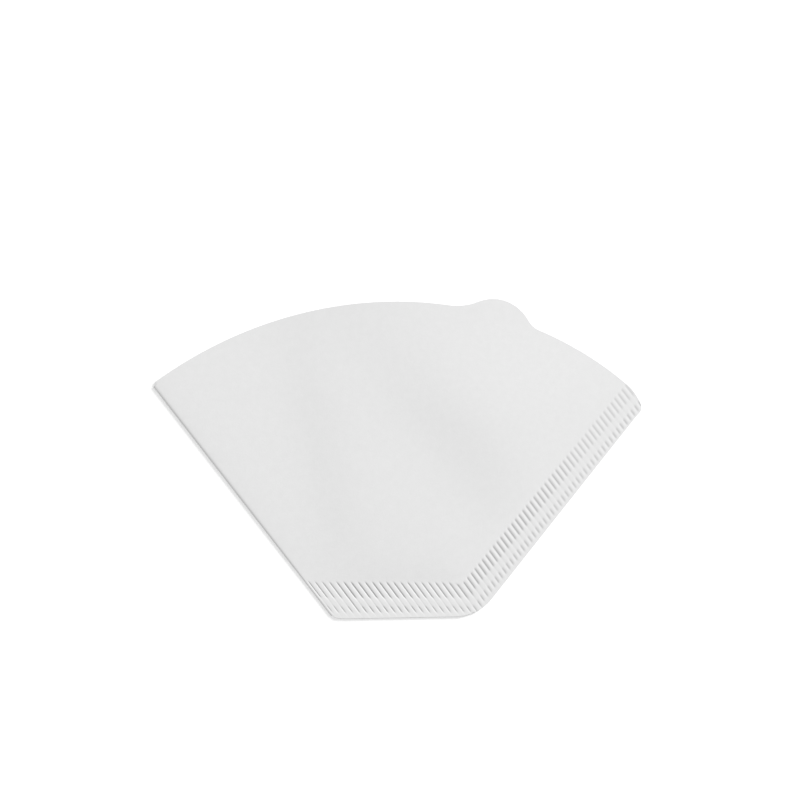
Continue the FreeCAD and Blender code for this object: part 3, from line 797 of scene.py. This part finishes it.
def paper_material(look):
    """Creped filter paper: fine fibres in low relief over faint clouds of pulp, with painted
    shade that darkens the crimp's grooves."""
    shader = Shader(bpy.data.materials.new("filter_paper"))
    place = shader.node("ShaderNodeTexCoord", output="Object")
    fibres = shader.node("ShaderNodeTexNoise", {},
                         {"Vector": place, "Scale": 1 / look.fibre, "Detail": FIBRE_DETAIL,
                          "Roughness": FIBRE_ROUGHNESS})
    grain = shader.node("ShaderNodeTexNoise", {},
                        {"Vector": place, "Scale": GRAIN_FINENESS / look.fibre,
                         "Detail": GRAIN_DETAIL})
    clouds = shader.node("ShaderNodeTexNoise", {},
                         {"Vector": place, "Scale": 1 / look.cloud, "Detail": CLOUD_DETAIL})
    relief = fibres * look.fibre_share + grain * (1 - look.fibre_share)
    shade = clouds * look.cloud_share + fibres * (1 - look.cloud_share)
    # The mottle's darker and paler colours, and the colour of the painted shade in the grooves
    dark, light, painted_shade_colour = ([c * brightness for c in look.colour] + [1] for brightness in
                               (1 - look.mottle / 2, 1 + look.mottle / 2, look.press_and_painted_shade))
    colour = shader.mixed_colours(shade, dark, light)
    # Painted shade: the colour is darkened along the crimp's grooves
    painted_shade_share = shader.node("ShaderNodeAttribute", {"attribute_name": "press_and_painted_shade"}, output=2)
    colour = shader.mixed_colours(painted_shade_share, colour, painted_shade_colour)
    bump = shader.node("ShaderNodeBump", {}, {"Strength": look.bump, "Distance": look.relief,
                                              "Height": relief})
    paper = shader.node("ShaderNodeBsdfPrincipled", {},
                        {"Base Color": colour, "Roughness": look.roughness,
                         "Specular IOR Level": look.gloss, "Normal": bump})
    shader.node("ShaderNodeOutputMaterial", {}, {"Surface": paper})
    return shader.owner


def floor_material(look):
    """A floor that shows as white to the camera, and still keeps the filter's shadow."""
    shader = Shader(bpy.data.materials.new("white_floor"))
    floor = shader.node("ShaderNodeBsdfDiffuse", {}, {"Color": [look.floor_shade] * 3 + [1]})
    glow = shader.node("ShaderNodeEmission", {}, {"Strength": look.glow})
    bright = shader.node("ShaderNodeAddShader", {}, {0: floor, 1: glow})
    mixed = shader.node("ShaderNodeMixShader", {}, {0: shader.seen(), 1: floor, 2: bright})
    shader.node("ShaderNodeOutputMaterial", {}, {"Surface": mixed})
    return shader.owner


def white_world(look):
    """Soft light from all round, which the camera sees as white."""
    shader = Shader(bpy.data.worlds.new("studio"))
    strength = shader.seen() * (1 - look.sky) + look.sky
    sky = shader.node("ShaderNodeBackground", {}, {"Color": (1, 1, 1, 1),
                                                   "Strength": strength})
    shader.node("ShaderNodeOutputWorld", {}, {"Surface": sky})
    return shader.owner


# The operators
def settings(context):
    """The scene's sizes and colours."""
    return context.scene.coffee_filter


class FILTER_OT_paper(Operator):
    """Builds the folded and crimped sheet of paper"""
    bl_idname = "filter.paper"
    bl_label = "Folded paper"

    def execute(self, context):
        chosen = settings(context)
        mesh = folded_sheet(chosen.fan, chosen.crimp, chosen.sheet)
        paper = bpy.data.objects.new("folded_paper", mesh)
        context.scene.collection.objects.link(paper)
        mesh.materials.append(paper_material(chosen.look))
        thickness = paper.modifiers.new("paper", "SOLIDIFY")
        thickness.thickness = chosen.sheet.paper
        thickness.offset = 0
        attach(paper, "root")
        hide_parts("filter_paper")
        return {"FINISHED"}


class FILTER_OT_stage(Operator):
    """Makes the floor, the lamps and the camera"""
    bl_idname = "filter.stage"
    bl_label = "Stage"

    def execute(self, context):
        look = settings(context).stage
        scene = context.scene
        mesh = bpy.data.meshes.new("floor")
        reach = look.floor_reach
        mesh.from_pydata([(-reach, -reach, 0), (reach, -reach, 0), (reach, reach, 0),
                          (-reach, reach, 0)], [], [(0, 1, 2, 3)])
        mesh.materials.append(floor_material(look))
        floor = bpy.data.objects.new("floor", mesh)
        scene.collection.objects.link(floor)

        scene.world = white_world(look)

        key = bpy.data.lights.new("key", "AREA")
        key.energy = look.key_power
        key.size = look.key_size
        lamp = bpy.data.objects.new("key", key)
        lamp.location = look.key_place
        lamp.rotation_euler = lamp.location.to_track_quat("Z", "Y").to_euler()
        scene.collection.objects.link(lamp)

        camera = bpy.data.objects.new("camera", bpy.data.cameras.new("camera"))
        camera.location = look.camera_place
        camera.rotation_euler = Euler(look.camera_turn)
        camera.data.lens = look.lens
        camera.data.clip_start = look.nearest
        scene.collection.objects.link(camera)
        scene.camera = camera
        scene.view_settings.view_transform = "Standard"
        return {"FINISHED"}


class FilterSettings(PropertyGroup):
    """Every size and colour of the filter and its stage."""
    fan: PointerProperty(type=FanSizes)
    sheet: PointerProperty(type=SheetSizes)
    crimp: PointerProperty(type=CrimpSizes)
    look: PointerProperty(type=PaperLook)
    stage: PointerProperty(type=StageLook)


class FILTER_PT_panel(Panel):
    """Sizes, colours and the two build steps"""
    bl_label = "Coffee filter"
    bl_space_type = "VIEW_3D"
    bl_region_type = "UI"
    bl_category = "Filter"

    def draw(self, context):
        chosen = settings(context)
        for group in (chosen.fan, chosen.sheet, chosen.crimp, chosen.look, chosen.stage):
            box = self.layout.box()
            box.label(text=type(group).__name__)
            for name in group.__annotations__:
                box.prop(group, name)
        self.layout.operator(FILTER_OT_paper.bl_idname)
        self.layout.operator(FILTER_OT_stage.bl_idname)


CLASSES = (FanSizes, SheetSizes, CrimpSizes, PaperLook, StageLook, FilterSettings,
           FILTER_OT_paper, FILTER_OT_stage, FILTER_PT_panel)


def register():
    for kind in CLASSES:
        bpy.utils.register_class(kind)
    bpy.types.Scene.coffee_filter = PointerProperty(type=FilterSettings)


def unregister():
    del bpy.types.Scene.coffee_filter
    for kind in reversed(CLASSES):
        bpy.utils.unregister_class(kind)


def main():
    register()
    bpy.ops.filter.paper()
    bpy.ops.filter.stage()
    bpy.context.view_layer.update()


if __name__ == "__main__":
    main()
